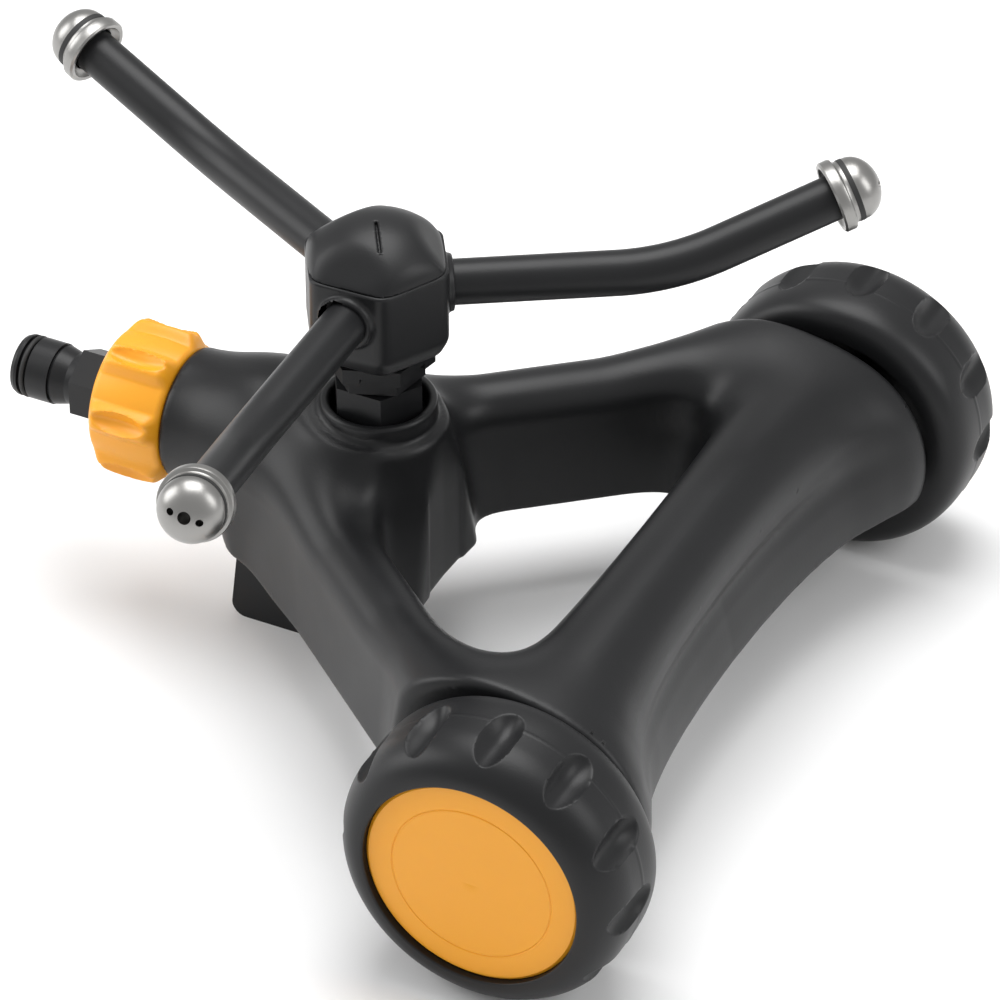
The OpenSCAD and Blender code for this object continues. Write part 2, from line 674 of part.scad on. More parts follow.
base_shell();
base_cover();
cover_screws();
rear_foot();
neck_plug();
water_elbow();
inlet_pipe();
elbow_seal();
riser_pipe();
riser_seal();
riser_nut();
gland_nut();
thrust_washer();
hose_connector();
connector_seal();
connector_gasket();
filter_screen();
flow_ring();
valve_sleeve();
valve_seal();
axle_bush_left();
axle_bush_right();
axle_left();
axle_right();
axle_clip_left();
axle_clip_right();
wheel_left();
wheel_right();
wheel_cap_left();
wheel_cap_right();
rotor_housing();
rotor_cap();
rotor_bearing();
rotor_seal();
retaining_nut();
arm_1();
arm_2();
arm_3();
arm_seal_1();
arm_seal_2();
arm_seal_3();
nozzle_1();
nozzle_2();
nozzle_3();
nozzle_seal_1();
nozzle_seal_2();
nozzle_seal_3();
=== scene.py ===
"""The wheeled garden sprinkler: smooth moulded skins over the CAD frame, materials, light and camera."""

import json
import math

import bmesh
import bpy
import numpy as np
from mathutils import Matrix, Vector


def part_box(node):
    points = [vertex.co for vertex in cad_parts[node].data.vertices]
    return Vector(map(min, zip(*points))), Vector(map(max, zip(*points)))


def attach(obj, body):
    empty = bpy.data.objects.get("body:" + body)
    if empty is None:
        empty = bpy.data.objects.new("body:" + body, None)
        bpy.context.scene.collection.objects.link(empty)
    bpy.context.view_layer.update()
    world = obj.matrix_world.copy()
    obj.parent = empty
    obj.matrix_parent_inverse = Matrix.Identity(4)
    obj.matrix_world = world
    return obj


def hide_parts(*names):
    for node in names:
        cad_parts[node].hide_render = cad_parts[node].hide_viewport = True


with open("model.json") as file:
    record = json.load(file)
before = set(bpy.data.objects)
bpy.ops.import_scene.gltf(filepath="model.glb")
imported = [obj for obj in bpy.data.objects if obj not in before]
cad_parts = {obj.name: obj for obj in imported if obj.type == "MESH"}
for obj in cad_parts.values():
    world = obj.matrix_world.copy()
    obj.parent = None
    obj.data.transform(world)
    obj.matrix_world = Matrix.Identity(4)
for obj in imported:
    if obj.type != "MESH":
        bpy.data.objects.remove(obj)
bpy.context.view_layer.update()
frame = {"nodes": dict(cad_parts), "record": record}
nodes = frame["nodes"]
MM = 0.001


# ---- Distances worked out in millimetres, in the frame's own axes ----

def corners_mm(node):
    low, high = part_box(node)
    return np.array(low) / MM, np.array(high) / MM


def smooth_min(a, b, k):
    h = np.clip(0.5 + 0.5 * (b - a) / k, 0, 1)
    return b + (a - b) * h - k * h * (1 - h)


def smooth_max(a, b, k):
    return -smooth_min(-a, -b, k)


def ease(t):
    t = np.clip(t, 0, 1)
    return t * t * (3 - 2 * t)


def curve(x, xs, ys):
    """A smooth line through the points (xs, ys)."""
    xs, ys = np.asarray(xs, float), np.asarray(ys, float)
    slopes = np.gradient(ys, xs)
    x = np.clip(x, xs[0], xs[-1])
    i = np.clip(np.searchsorted(xs, x, side="right") - 1, 0, len(xs) - 2)
    w = xs[i + 1] - xs[i]
    t = (x - xs[i]) / w
    a, b = (1 + 2 * t) * (1 - t) ** 2, t * t * (3 - 2 * t)
    return a * ys[i] + b * ys[i + 1] + w * (t * (1 - t) ** 2 * slopes[i] - t * t * (1 - t) * slopes[i + 1])


shell_low, shell_high = corners_mm("base_shell")
wheel_low, wheel_high = corners_mm("wheel_left")
AXLE_X = (wheel_low[0] + wheel_high[0]) / 2
AXLE_Z = (wheel_low[2] + wheel_high[2]) / 2
BOTTOM = shell_low[2]
MOUTH_X = shell_low[0]
END_Y = corners_mm("axle_bush_left")[1][1] - 0.2
END_R = shell_high[0] - AXLE_X
COLLAR_TOP = shell_high[2]
INLET_Z = float(np.mean([c[2] for c in corners_mm("inlet_pipe")]))
TOWER_TOP = corners_mm("riser_nut")[0][2]
WALL = 2.6

# The neck: round at its mouth, then an arch with straight sides that draw in below
NECK_R = 17.5
SHOULDER_R = 20.6
NECK_FLARE_LONG = 24
NECK_TUCK, NECK_TUCK_LONG = 0.25, 20
NECK_ROUND_LONG, NECK_ARCH_LONG = 9, 12
NECK_END_X = 6


def neck_field(x, y, z):
    radius = NECK_R + (SHOULDER_R - NECK_R) * ease((x - MOUTH_X) / NECK_FLARE_LONG)
    below = np.clip(INLET_Z - z, 0, None)
    tuck = NECK_TUCK * ease((x - MOUTH_X) / NECK_TUCK_LONG) * below
    round_part = np.sqrt(y * y + (z - INLET_Z) ** 2) - radius
    wall_part = np.abs(y) - (radius - tuck)
    reach = ease((x - MOUTH_X - NECK_ROUND_LONG) / NECK_ARCH_LONG)
    section = np.where(z > INLET_Z, round_part, round_part * (1 - reach) + wall_part * reach)
    section = smooth_max(section, x - NECK_END_X, 4.0)
    return smooth_max(section, MOUTH_X - x, 0.8)


# The tower: a cone with a flat panel towards the wheels
TOWER_HEIGHTS = [BOTTOM, 42, 56, 66, TOWER_TOP + 0.5]
TOWER_RADII = [25.5, 23.5, 21.2, 18.9, 17.7]
PANEL_X, PANEL_LEAN = 18.6, 0.06


def tower_field(x, y, z):
    cone = np.hypot(x, y) - curve(z, TOWER_HEIGHTS, TOWER_RADII)
    cone = smooth_max(cone, z - TOWER_TOP - 0.6, 2.2)
    return smooth_max(cone, x - (PANEL_X + PANEL_LEAN * np.abs(y)), 1.2)


COLLAR_R = 15.0
COLLAR_RECESS_R = 12.6
RIM_LAP = 0.25


def collar_field(x, y, z):
    ring = np.hypot(x, y) - COLLAR_R
    return smooth_max(ring, z - COLLAR_TOP + RIM_LAP, 1.2)


# The legs: a ridge on a heading from the tower, higher and fuller at both ends
LEG_HW = 9.3
LEG_TOP = 63.0
LEG_HEADING = math.radians(39.8)
LEG_OFFSET = 21.85
LEG_START, LEG_END = -21.0, 104.0
LEG_NEAR_RISE, LEG_NEAR_LONG = 5.0, 34
LEG_FAR_RISE, LEG_FAR_START, LEG_FAR_LONG = 2.5, 62, 25
LEG_SPREAD, LEG_SPREAD_HIGH = 0.7, 26


def leg_field(x, y, z):
    side = np.abs(y)
    along = x * math.cos(LEG_HEADING) + side * math.sin(LEG_HEADING)
    across = side * math.cos(LEG_HEADING) - x * math.sin(LEG_HEADING) - LEG_OFFSET
    past = np.clip(LEG_START - along, 0, None) + np.clip(along - LEG_END, 0, None)
    rise = LEG_NEAR_RISE * (1 - ease(along / LEG_NEAR_LONG))
    rise = rise + LEG_FAR_RISE * ease((along - LEG_FAR_START) / LEG_FAR_LONG)
    crown = LEG_TOP - LEG_HW + rise
    spread = LEG_SPREAD * ease((crown - z) / LEG_SPREAD_HIGH)
    up = np.clip(z - crown, 0, None)
    return np.sqrt(across**2 + past**2 + up**2) - LEG_HW - spread


# The cross-member: waisted in the middle, turning into a round end beside each wheel
BAR_R = 12.75
BAR_TOP = 69.0
BAR_CENTRE_Z = BAR_TOP - BAR_R
BAR_HEIGHTS = [BOTTOM, 34, 41, 47, 52, BAR_CENTRE_Z]
BAR_HALF_WIDTHS = [14.4, 13.8, 12.2, 10.6, 12.1, BAR_R]
BAR_STATIONS = [0, 20, 35, 50, 60, 72, 80, END_Y]
BAR_ROUNDING = [0, 0.04, 0.12, 0.26, 0.41, 0.72, 0.93, 1]


def bar_field(x, y, z):
    u = np.abs(x - AXLE_X)
    half = curve(z, BAR_HEIGHTS, BAR_HALF_WIDTHS)
    middle = np.sqrt(u * u + np.clip(z - BAR_CENTRE_Z, 0, None) ** 2) - half
    end = np.sqrt(u * u + (z - AXLE_Z) ** 2) - END_R
    morph = curve(np.abs(y), BAR_STATIONS, BAR_ROUNDING)
    return middle * (1 - morph) + end * morph


# How softly the base's volumes run into each other
NECK_BLEND, LEG_BLEND, BAR_BLEND, END_EDGE = 7.0, 14.0, 24.0, 2.4
PANEL_OPENING, PANEL_HALF, PANEL_FADE = 130.0, 8, 30


def outer_field(x, y, z):
    d = smooth_min(tower_field(x, y, z), neck_field(x, y, z), NECK_BLEND)
    d = smooth_min(d, leg_field(x, y, z), LEG_BLEND)
    opening = PANEL_OPENING * ease((np.abs(y) - PANEL_HALF) / PANEL_FADE)
    d = smooth_max(d, x - PANEL_X - opening, 1.5)
    d = smooth_min(d, bar_field(x, y, z), BAR_BLEND)
    return smooth_max(d, np.abs(y) - END_Y, END_EDGE)


def inner_field(x, y, z):
    bore = np.maximum(np.hypot(y, z - INLET_Z) - (NECK_R - WALL), x - (MOUTH_X + 2 * WALL))
    return np.minimum(outer_field(x, y, z) + WALL, bore)


RISER_HOLE_R = 7.1


def shell_field(x, y, z):
    collar = smooth_max(collar_field(x, y, z), TOWER_TOP - WALL - z, 0.5)
    skin = smooth_min(outer_field(x, y, z), collar, 1.6)
    d = smooth_max(skin, -inner_field(x, y, z), 0.5)
    across = np.hypot(x, y)
    d = smooth_max(d, -np.maximum(across - COLLAR_RECESS_R - 0.4, TOWER_TOP - z), 0.7)
    d = np.maximum(d, -np.maximum(across - RISER_HOLE_R, TOWER_TOP - 2 * WALL - z))
    return smooth_max(d, BOTTOM - z, 1.6)


cover_low, cover_high = corners_mm("base_cover")
foot_low, foot_high = corners_mm("rear_foot")


COVER_GAP, COVER_HALF_T, FOOT_GAP = 0.35, 1.15, 0.3
COVER_Z = (cover_low[2] + cover_high[2]) / 2 + 0.2


def cover_field(x, y, z):
    plate = np.maximum(outer_field(x, y, z) + WALL + COVER_GAP, np.abs(z - COVER_Z) - COVER_HALF_T)
    foot = np.maximum(foot_low[0] - FOOT_GAP - x, x - foot_high[0] - FOOT_GAP)
    foot = np.maximum(np.abs(y) - foot_high[1] - FOOT_GAP, foot)
    return np.maximum(plate, -foot)


# ---- Meshes ----

def mesh_piece(name, points, faces):
    mesh = bpy.data.meshes.new(name)
    mesh.from_pydata((np.asarray(points) * MM).tolist(), [], faces)
    mesh.polygons.foreach_set("use_smooth", [True] * len(mesh.polygons))
    mesh.update()
    piece = bpy.data.objects.new(name, mesh)
    bpy.context.scene.collection.objects.link(piece)
    return piece


def surface_mesh(name, field, low, high, cell):
    """A quad mesh of the surface where the field is zero: one point in each cell that the surface crosses,
    moved on to the surface, and one face across each grid edge that it crosses."""
    axes = [np.arange(low[i] - 1.5 * cell, high[i] + 2.5 * cell, cell) for i in range(3)]
    values = field(*np.meshgrid(*axes, indexing="ij"))
    inside = values < 0
    nx, ny, nz = (n - 1 for n in inside.shape)
    counts = sum(inside[i:i + nx, j:j + ny, k:k + nz].astype(np.int8)
                 for i in (0, 1) for j in (0, 1) for k in (0, 1))
    active = (counts > 0) & (counts < 8)
    index = np.full(active.shape, -1, dtype=np.int64)
    index[active] = np.arange(active.sum())
    where = np.argwhere(active)
    points = np.stack([axes[i][where[:, i]] + cell / 2 for i in range(3)], axis=1)
    start = points.copy()
    h = 0.02
    for _ in range(5):
        f = field(*points.T)
        slope = np.stack([(field(*(points + h * np.eye(3)[i]).T) - f) / h for i in range(3)], axis=1)
        points = points - slope * (f / np.maximum((slope**2).sum(axis=1), 0.05))[:, None]
        points = np.clip(points, start - 0.75 * cell, start + 0.75 * cell)
    quads = []
    for axis in range(3):
        front = np.take(inside, range(inside.shape[axis] - 1), axis=axis)
        back = np.take(inside, range(1, inside.shape[axis]), axis=axis)
        a, b = (axis + 1) % 3, (axis + 2) % 3
        edge = np.argwhere(front != back)
        keep = np.all([(edge[:, o] > 0) & (edge[:, o] < inside.shape[o] - 1) for o in (a, b)], axis=0)
        edge = edge[keep]
        step_a, step_b = np.eye(3, dtype=int)[a], np.eye(3, dtype=int)[b]
        ring = [edge - step_a - step_b, edge - step_b, edge, edge - step_a]
        quad = np.stack([index[tuple(r.T)] for r in ring], axis=1)
        flip = ~front[tuple(edge.T)]
        quad[flip] = quad[flip][:, ::-1]
        quads.append(quad)
    return mesh_piece(name, points, np.concatenate(quads).tolist())


def loop_faces(rings, around, closed):
    faces = []
    for i in range(rings if closed else rings - 1):
        for j in range(around):
            a, b = i * around + j, i * around + (j + 1) % around
            c, d = (i + 1) % rings * around + (j + 1) % around, (i + 1) % rings * around + j
            faces.append((a, b, c, d))
    return faces


def resampled(profile, step):
    """The closed profile with points no further apart than step; its corners stay."""
    out = []
    for (r0, d0), (r1, d1) in zip(profile, profile[1:] + profile[:1]):
        pieces = max(1, math.ceil(math.hypot(r1 - r0, d1 - d0) / step))
        out += [(r0 + (r1 - r0) * i / pieces, d0 + (d1 - d0) * i / pieces) for i in range(pieces)]
    return np.array(out)


def turned(name, profile, around, place, relief=None, step=0.8):
    """A closed (radius, depth) profile turned about an axis. place maps (u, v, depth) to the frame, and
    relief(angle, radius, depth) says how far the surface sinks in."""
    outline = resampled(profile, step)
    angle = np.arange(around) * 2 * math.pi / around
    radius = np.repeat(outline[:, 0], around)
    depth = np.repeat(outline[:, 1], around)
    turn = np.tile(angle, len(outline))
    if relief:
        radius = radius - relief(turn, radius, depth)
    points = place(radius * np.cos(turn), radius * np.sin(turn), depth)
    return mesh_piece(name, points, loop_faces(len(outline), around, True))


def fix_normals(piece):
    b = bmesh.new()
    b.from_mesh(piece.data)
    bmesh.ops.recalc_face_normals(b, faces=b.faces)
    b.to_mesh(piece.data)
    b.free()
    return piece


def crease(piece, angle_deg):
    """Edges sharper than the angle stay crisp, and the rest shade smoothly."""
    b = bmesh.new()
    b.from_mesh(piece.data)
    for e in b.edges:
        e.smooth = not (len(e.link_faces) == 2 and e.calc_face_angle(0) > math.radians(angle_deg))
    b.to_mesh(piece.data)
    b.free()
    return piece


# ---- Materials ----

MOTTLE_SCALE = 55
ROUGHNESS_SPREAD = 0.05
BUMP_STRENGTH = 0.35


def socket(shader, name, value):
    shader.inputs[name].default_value = value


def material(name, colour, roughness, grain_scale, grain_depth,
             mottling=0.08, metallic=0.0, stretch=(1, 1, 1)):
    """A moulded or brushed surface: fine grain in the bump, slow changes in colour and roughness."""
    m = bpy.data.materials.new(name)
    m.use_nodes = True
    tree = m.node_tree
    new, link = tree.nodes.new, tree.links.new
    shader = tree.nodes["Principled BSDF"]
    socket(shader, "Metallic", metallic)
    place = new("ShaderNodeTexCoord")
    scaled = new("ShaderNodeMapping")
    scaled.inputs["Scale"].default_value = stretch
    link(place.outputs["Object"], scaled.inputs["Vector"])
    slow = new("ShaderNodeTexNoise")
    slow.inputs["Scale"].default_value = MOTTLE_SCALE
    slow.inputs["Detail"].default_value = 4
    link(place.outputs["Object"], slow.inputs["Vector"])
    tint = new("ShaderNodeMix")
    tint.data_type = "RGBA"
    tint.inputs["A"].default_value = (*[c * (1 - mottling) for c in colour], 1)
    tint.inputs["B"].default_value = (*[min(c * (1 + mottling), 1) for c in colour], 1)
    link(slow.outputs["Fac"], tint.inputs["Factor"])
    link(tint.outputs["Result"], shader.inputs["Base Color"])
    rough = new("ShaderNodeMapRange")
    rough.inputs["To Min"].default_value = roughness - ROUGHNESS_SPREAD
    rough.inputs["To Max"].default_value = roughness + ROUGHNESS_SPREAD
    link(slow.outputs["Fac"], rough.inputs["Value"])
    link(rough.outputs["Result"], shader.inputs["Roughness"])
    grain = new("ShaderNodeTexNoise")
    grain.inputs["Scale"].default_value = grain_scale
    grain.inputs["Detail"].default_value = 3
    link(scaled.outputs["Vector"], grain.inputs["Vector"])
    bump = new("ShaderNodeBump")
    bump.inputs["Strength"].default_value = BUMP_STRENGTH
    bump.inputs["Distance"].default_value = grain_depth * MM
    link(grain.outputs["Fac"], bump.inputs["Height"])
    link(bump.outputs["Normal"], shader.inputs["Normal"])
    return m


looks = {
    "black_plastic": material("black_plastic", (0.0085, 0.0087, 0.0095), 0.40, 1900, 0.06),
    "orange_plastic": material("orange_plastic", (0.84, 0.35, 0.012), 0.40, 1500, 0.03, mottling=0.03),
    "nozzle_steel": material("nozzle_steel", (0.31, 0.305, 0.295), 0.35, 900, 0.02,
                             metallic=1.0, stretch=(1, 1, 6)),
    "hardware_steel": material("hardware_steel", (0.50, 0.50, 0.49), 0.34, 900, 0.02, metallic=1.0),
    "seal_rubber": material("seal_rubber", (0.012, 0.012, 0.012), 0.62, 1200, 0.03),
}
socket(looks["black_plastic"].node_tree.nodes["Principled BSDF"], "Specular IOR Level", 0.30)
socket(looks["orange_plastic"].node_tree.nodes["Principled BSDF"], "Subsurface Weight", 0.08)
socket(looks["orange_plastic"].node_tree.nodes["Principled BSDF"], "Subsurface Scale", 0.002)


def finish_piece(piece, slot_name, body, *replaced):
    piece.data.materials.clear()
    piece.data.materials.append(looks[slot_name])
    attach(piece, body)
    if replaced:
        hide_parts(*replaced)


for part in frame["record"]["subparts"]:
    cad = nodes[part["node"]]
    cad.data.materials.clear()
    cad.data.materials.append(looks[part["material_slot"]])


# ---- Pieces ----

shell = surface_mesh("base_shell_skin", shell_field, shell_low - [0, 4, 0], shell_high + [0, 4, 0], 1.0)
finish_piece(shell, "black_plastic", "base", "base_shell")

# The collar's rim, turned so that its edges stay crisp: a half round over a short skirt
RIM_SKIN = 0.04
ROUND_R = (COLLAR_R - COLLAR_RECESS_R) / 2 + RIM_SKIN


def collar_rim_profile():
    inner, outer = COLLAR_RECESS_R - RIM_SKIN, COLLAR_R + RIM_SKIN
    turn = np.linspace(0, math.pi, 13)
    top = [(inner + ROUND_R * (1 - math.cos(a)), -ROUND_R * math.sin(a)) for a in turn]
    return top + [(outer, 3.4), (COLLAR_R - 0.3, 3.4), (COLLAR_R - 0.3, 4.2), (inner, 4.2)]


def collar_rim_place(u, v, depth):
    return np.stack([u, v, COLLAR_TOP - ROUND_R - depth], axis=1)


rim = fix_normals(turned("base_collar_skin", collar_rim_profile(), 240, collar_rim_place))
finish_piece(crease(rim, 40), "black_plastic", "base")

cover = surface_mesh("base_cover_skin", cover_field, cover_low, cover_high, 1.0)
finish_piece(cover, "black_plastic", "base", "base_cover")


# The rotor's hub: a rounded hexagon with a domed cap, an arched hood over each arm and a slot on top
hub_low, hub_high = corners_mm("rotor_housing")
cap_high = corners_mm("rotor_cap")[1]
HUB_R, HUB_CORNER, HUB_TAPER = 19.4, 2.3, 2.4
SEAM_Z = hub_high[2]
ARM_H = float(np.mean([c[2] for c in corners_mm("arm_seal_1")]))
ARM_R = 5.85
ARM_AZ = math.radians(32)
SLOT_LONG, SLOT_WIDE, SLOT_AZ = 10.5, 0.8, math.radians(-57)
HUB_FLAT = HUB_R * math.cos(math.pi / 6) + 0.9
CAP_LIP, SEAM_GAP = 0.3, 0.03
SOCKET_WALL, SOCKET_IN, SOCKET_HALF, SOCKET_LAP, SOCKET_START = 1.5, 3, 4.4, 0.5, 6
BORE_R, BORE_DEEP = 5.6, 8
DOME_R = 23.5
HOOD_SLOPE, HOOD_DROP, HOOD_HALF = math.radians(42.5), 0.2, 9.6
SLOT_DEEP = 1.2


def hexagon(x, y, flat):
    """Distance from a rounded hexagon whose flats face the arms and the gaps between them."""
    faces = []
    for i in range(6):
        a = ARM_AZ + i * math.pi / 3
        faces.append(x * math.cos(a) + y * math.sin(a) - flat)
    d = faces[0]
    for f in faces[1:]:
        d = smooth_max(d, f, HUB_CORNER)
    return d


def arm_frame(x, y, k):
    a = ARM_AZ + k * 2 * math.pi / 3
    return x * math.cos(a) + y * math.sin(a), -x * math.sin(a) + y * math.cos(a)


def housing_field(x, y, z):
    taper = HUB_TAPER * ease((hub_low[2] + 6 - z) / 8)
    d = smooth_max(hexagon(x, y, HUB_FLAT - CAP_LIP - taper), hub_low[2] - z, 1.5)
    d = smooth_max(d, z - SEAM_Z + SEAM_GAP, 0.3)
    for k in range(3):
        out, across = arm_frame(x, y, k)
        from_arm = np.hypot(across, z - ARM_H) - ARM_R
        sleeve = smooth_max(from_arm - SOCKET_WALL, np.abs(out - HUB_FLAT + SOCKET_IN) - SOCKET_HALF, 0.8)
        d = smooth_min(d, sleeve, 1.2)
        d = smooth_max(d, -np.maximum(from_arm + SOCKET_LAP, SOCKET_START - out), 0.3)
    bore = np.hypot(x, y) - BORE_R
    return smooth_max(d, -np.maximum(bore, z - hub_low[2] - BORE_DEEP), 0.3)


def cap_field(x, y, z):
    dome = np.sqrt(x * x + y * y + (z - cap_high[2] + DOME_R) ** 2) - DOME_R
    d = smooth_max(hexagon(x, y, HUB_FLAT), dome, 3.0)
    d = smooth_max(d, SEAM_Z + SEAM_GAP - z, 0.3)
    for k in range(3):
        out, across = arm_frame(x, y, k)
        facet = (out - HUB_FLAT) * math.cos(HOOD_SLOPE) + (z - SEAM_Z + HOOD_DROP) * math.sin(HOOD_SLOPE)
        d = smooth_max(d, facet - 2 * np.clip(np.abs(across) - HOOD_HALF, 0, None), 1.1)
    along = x * math.cos(SLOT_AZ) + y * math.sin(SLOT_AZ)
    across = y * math.cos(SLOT_AZ) - x * math.sin(SLOT_AZ)
    slot = np.maximum(np.abs(along - SLOT_LONG / 2) - SLOT_LONG / 2, np.abs(across) - SLOT_WIDE / 2)
    depth = cap_high[2] - SLOT_DEEP - (x * x + y * y) / (2 * DOME_R) - z
    return smooth_max(d, -np.maximum(slot, depth), 0.2)


housing = surface_mesh("rotor_housing_skin", housing_field, hub_low, hub_high, 0.55)
finish_piece(housing, "black_plastic", "rotor", "rotor_housing")
cap_low = np.array([hub_low[0], hub_low[1], SEAM_Z - 0.5])
cap = surface_mesh("rotor_cap_skin", cap_field, cap_low, cap_high + [1, 1, 0.5], 0.4)
finish_piece(cap, "black_plastic", "rotor", "rotor_cap")


# The wheels: a rounded tread with scoops cut across its outer shoulder
FACE_R, RIM_R, LIP_R, CAP_R = 28.9, (wheel_high[2] - wheel_low[2]) / 2, 29.7, 28.3
WHEEL_W, EDGE_DEPTH, TREAD_END, WEB_DEPTH = 30.0, 11.9, 17.0, 7.0
SCOOPS, SCOOP_LONG, SCOOP_WIDE, SCOOP_DEEP, SCOOP_AT = 12, 9.0, 4.5, 3.1, 12.3
SCOOP_TURN = math.radians(-3.4)
SIDE_POWER = 0.62
WEB_T, BOSS_R, AXLE_HOLE_R, CAP_GAP = 3, 7.5, 3.1, 0.15
PARTING_DEEP, PARTING_HALF = 0.14, 0.5


def wheel_profile():
    turn = np.linspace(0, math.pi / 2, 25)
    shoulder = [(FACE_R + (RIM_R - FACE_R) * math.sin(a), EDGE_DEPTH * (1 - math.cos(a))) for a in turn]
    side = [(LIP_R + (RIM_R - LIP_R) * math.cos(a) ** SIDE_POWER,
             TREAD_END + (WHEEL_W - TREAD_END) * math.sin(a) ** SIDE_POWER) for a in turn]
    hollow = [(LIP_R - 1.2, WHEEL_W), (31.2, 28.4), (33.4, 24), (34, TREAD_END),
              (31, WEB_DEPTH + WEB_T), (BOSS_R, WEB_DEPTH + WEB_T)]
    boss_end = wheel_high[1] - wheel_low[1]
    boss = [(BOSS_R, boss_end), (AXLE_HOLE_R, boss_end), (AXLE_HOLE_R, WEB_DEPTH)]
    cap_seat = [(CAP_R + CAP_GAP, WEB_DEPTH), (CAP_R + CAP_GAP, 0.35), (CAP_R + 0.4, 0.05)]
    return shoulder + side + hollow + boss + cap_seat


def scoop_relief(angle, radius, depth):
    pitch = 2 * math.pi / SCOOPS
    off = ((angle - SCOOP_TURN) / pitch + 0.5) % 1 - 0.5
    across = off * pitch * radius / SCOOP_WIDE
    along = (depth - SCOOP_AT) / SCOOP_LONG
    hollow = np.clip(1 - across**2 - np.abs(along) ** 2.4, 0, None) ** 0.9
    tread = (radius > FACE_R - 0.01) & (radius > 33.8 - 0.9 * np.clip(TREAD_END - depth, 0, 8))
    parting = PARTING_DEEP * np.clip(1 - np.abs(depth - TREAD_END) / PARTING_HALF, 0, 1)
    return np.where(tread, SCOOP_DEEP * hollow - parting * (hollow <= 0), 0)


def wheel_place(side):
    face = wheel_high[1]
    return lambda u, v, depth: np.stack([AXLE_X + u, side * (face - depth), AXLE_Z + v], axis=1)


for side, name in ((1, "left"), (-1, "right")):
    tyre = turned("wheel_%s_skin" % name, wheel_profile(), 600, wheel_place(side), scoop_relief, 0.5)
    fix_normals(tyre)
    finish_piece(crease(tyre, 38), "black_plastic", "wheel_%s_body" % name, "wheel_%s" % name)


# The flow ring: grips round its waist, each with an almond hollow
ring_low, ring_high = corners_mm("flow_ring")
RING_R, LOBE_OUT, LOBES, LOBE_TURN = 18.5, 2.4, 7, math.radians(13)
RING_W = ring_high[0] - ring_low[0]
RING_EDGE, RING_WALL, RING_FRONT_T, RING_BORE_R = 1.6, 3.3, 3, 7.6
RING_SWELL, GRIP_HALF = 0.9, 3.4
HOLLOW_DEEP, HOLLOW_HALF, HOLLOW_SHIFT = 2.6, 2.6, 0.6


def ring_profile():
    steps = np.linspace(0, math.pi / 2, 7)
    edge = RING_R - RING_EDGE
    front = [(edge + RING_EDGE * math.sin(a), RING_EDGE - RING_EDGE * math.cos(a)) for a in steps]
    back = [(edge + RING_EDGE * math.cos(a), RING_W - RING_EDGE + RING_EDGE * math.sin(a)) for a in steps]
    hollow = [(RING_R - RING_WALL, RING_W), (RING_R - RING_WALL, RING_FRONT_T)]
    return front + back + hollow + [(RING_BORE_R, RING_FRONT_T), (RING_BORE_R, 0)]


def ring_relief(angle, radius, depth):
    pitch = 2 * math.pi / LOBES
    off = ((angle - LOBE_TURN) / pitch + 0.5) % 1 - 0.5
    across = off * pitch * RING_R
    along = (depth - RING_W / 2) / (RING_W / 2)
    grip = ease(1.5 - np.abs(across) / GRIP_HALF) * ease((1 - np.abs(along) ** 2.4) * 1.6)
    hollow = np.clip(1 - ((across - HOLLOW_SHIFT) / HOLLOW_HALF) ** 2 - (along / 0.78) ** 2, 0, None) ** 0.8
    outside = radius > RING_R - RING_EDGE - 0.1
    swell = RING_SWELL * (1 - along**2)
    return np.where(outside, RING_SWELL + HOLLOW_DEEP * hollow - LOBE_OUT * grip - swell, 0)


def ring_place(u, v, depth):
    return np.stack([ring_low[0] + depth, -u, INLET_Z + v], axis=1)


ring = fix_normals(turned("flow_ring_skin", ring_profile(), 420, ring_place, ring_relief, 0.5))
finish_piece(crease(ring, 40), "orange_plastic", "flow_ring_body", "flow_ring")


# The arms: a straight run, a long bend and a straight tail
ARM_IN, ARM_KNEE, ARM_TAIL, BEND_R = 10.5, 73.8, 49.0, 75.0
ARM_BEND, ARM_ROLL = math.radians(20.8), math.radians(34)


def arm_path(k):
    az = ARM_AZ + k * 2 * math.pi / 3
    out = np.array([math.cos(az), math.sin(az), 0])
    tangent = np.array([-math.sin(az), math.cos(az), 0])
    up = math.cos(ARM_ROLL) * np.array([0, 0, 1]) + math.sin(ARM_ROLL) * tangent
    cut = BEND_R * math.tan(ARM_BEND / 2)
    root = np.array([0, 0, ARM_H])
    points, headings = [root + out * ARM_IN], [0.0]
    for a in np.linspace(0, ARM_BEND, 25):
        points.append(root + out * (ARM_KNEE - cut + BEND_R * math.sin(a)) + up * BEND_R * (1 - math.cos(a)))
        headings.append(a)
    tail = out * math.cos(ARM_BEND) + up * math.sin(ARM_BEND)
    points.append(root + out * ARM_KNEE + tail * ARM_TAIL)
    headings.append(ARM_BEND)
    across = np.cross(out, up)
    return points, [-math.sin(a) * out + math.cos(a) * up for a in headings], across


for k in range(3):
    path, ups, across = arm_path(k)
    around = 64
    angle = np.arange(around) * 2 * math.pi / around
    rings = [p + ARM_R * (np.outer(np.cos(angle), u) + np.outer(np.sin(angle), across))
             for p, u in zip(path, ups)]
    faces = loop_faces(len(rings), around, False)
    faces += [tuple(range(around)), tuple(range((len(rings) - 1) * around, len(rings) * around))]
    tube = fix_normals(mesh_piece("arm_%d_skin" % (k + 1), np.concatenate(rings), faces))
    finish_piece(crease(tube, 40), "black_plastic", "rotor", "arm_%d" % (k + 1))


# The nozzle caps: spun steel with a lip, a domed end and three jets in a row
NOZZLE_R, NOZZLE_LONG, DOME_LONG, TUBE_END = 9.3, 13.0, 6.6, 52.0
NOZZLE_LIP = TUBE_END + 5.2 - NOZZLE_LONG
JET_R, SIDE_JET_R, JET_PITCH, JET_TURN = 1.6, 0.9, 3.7, math.radians(-69)


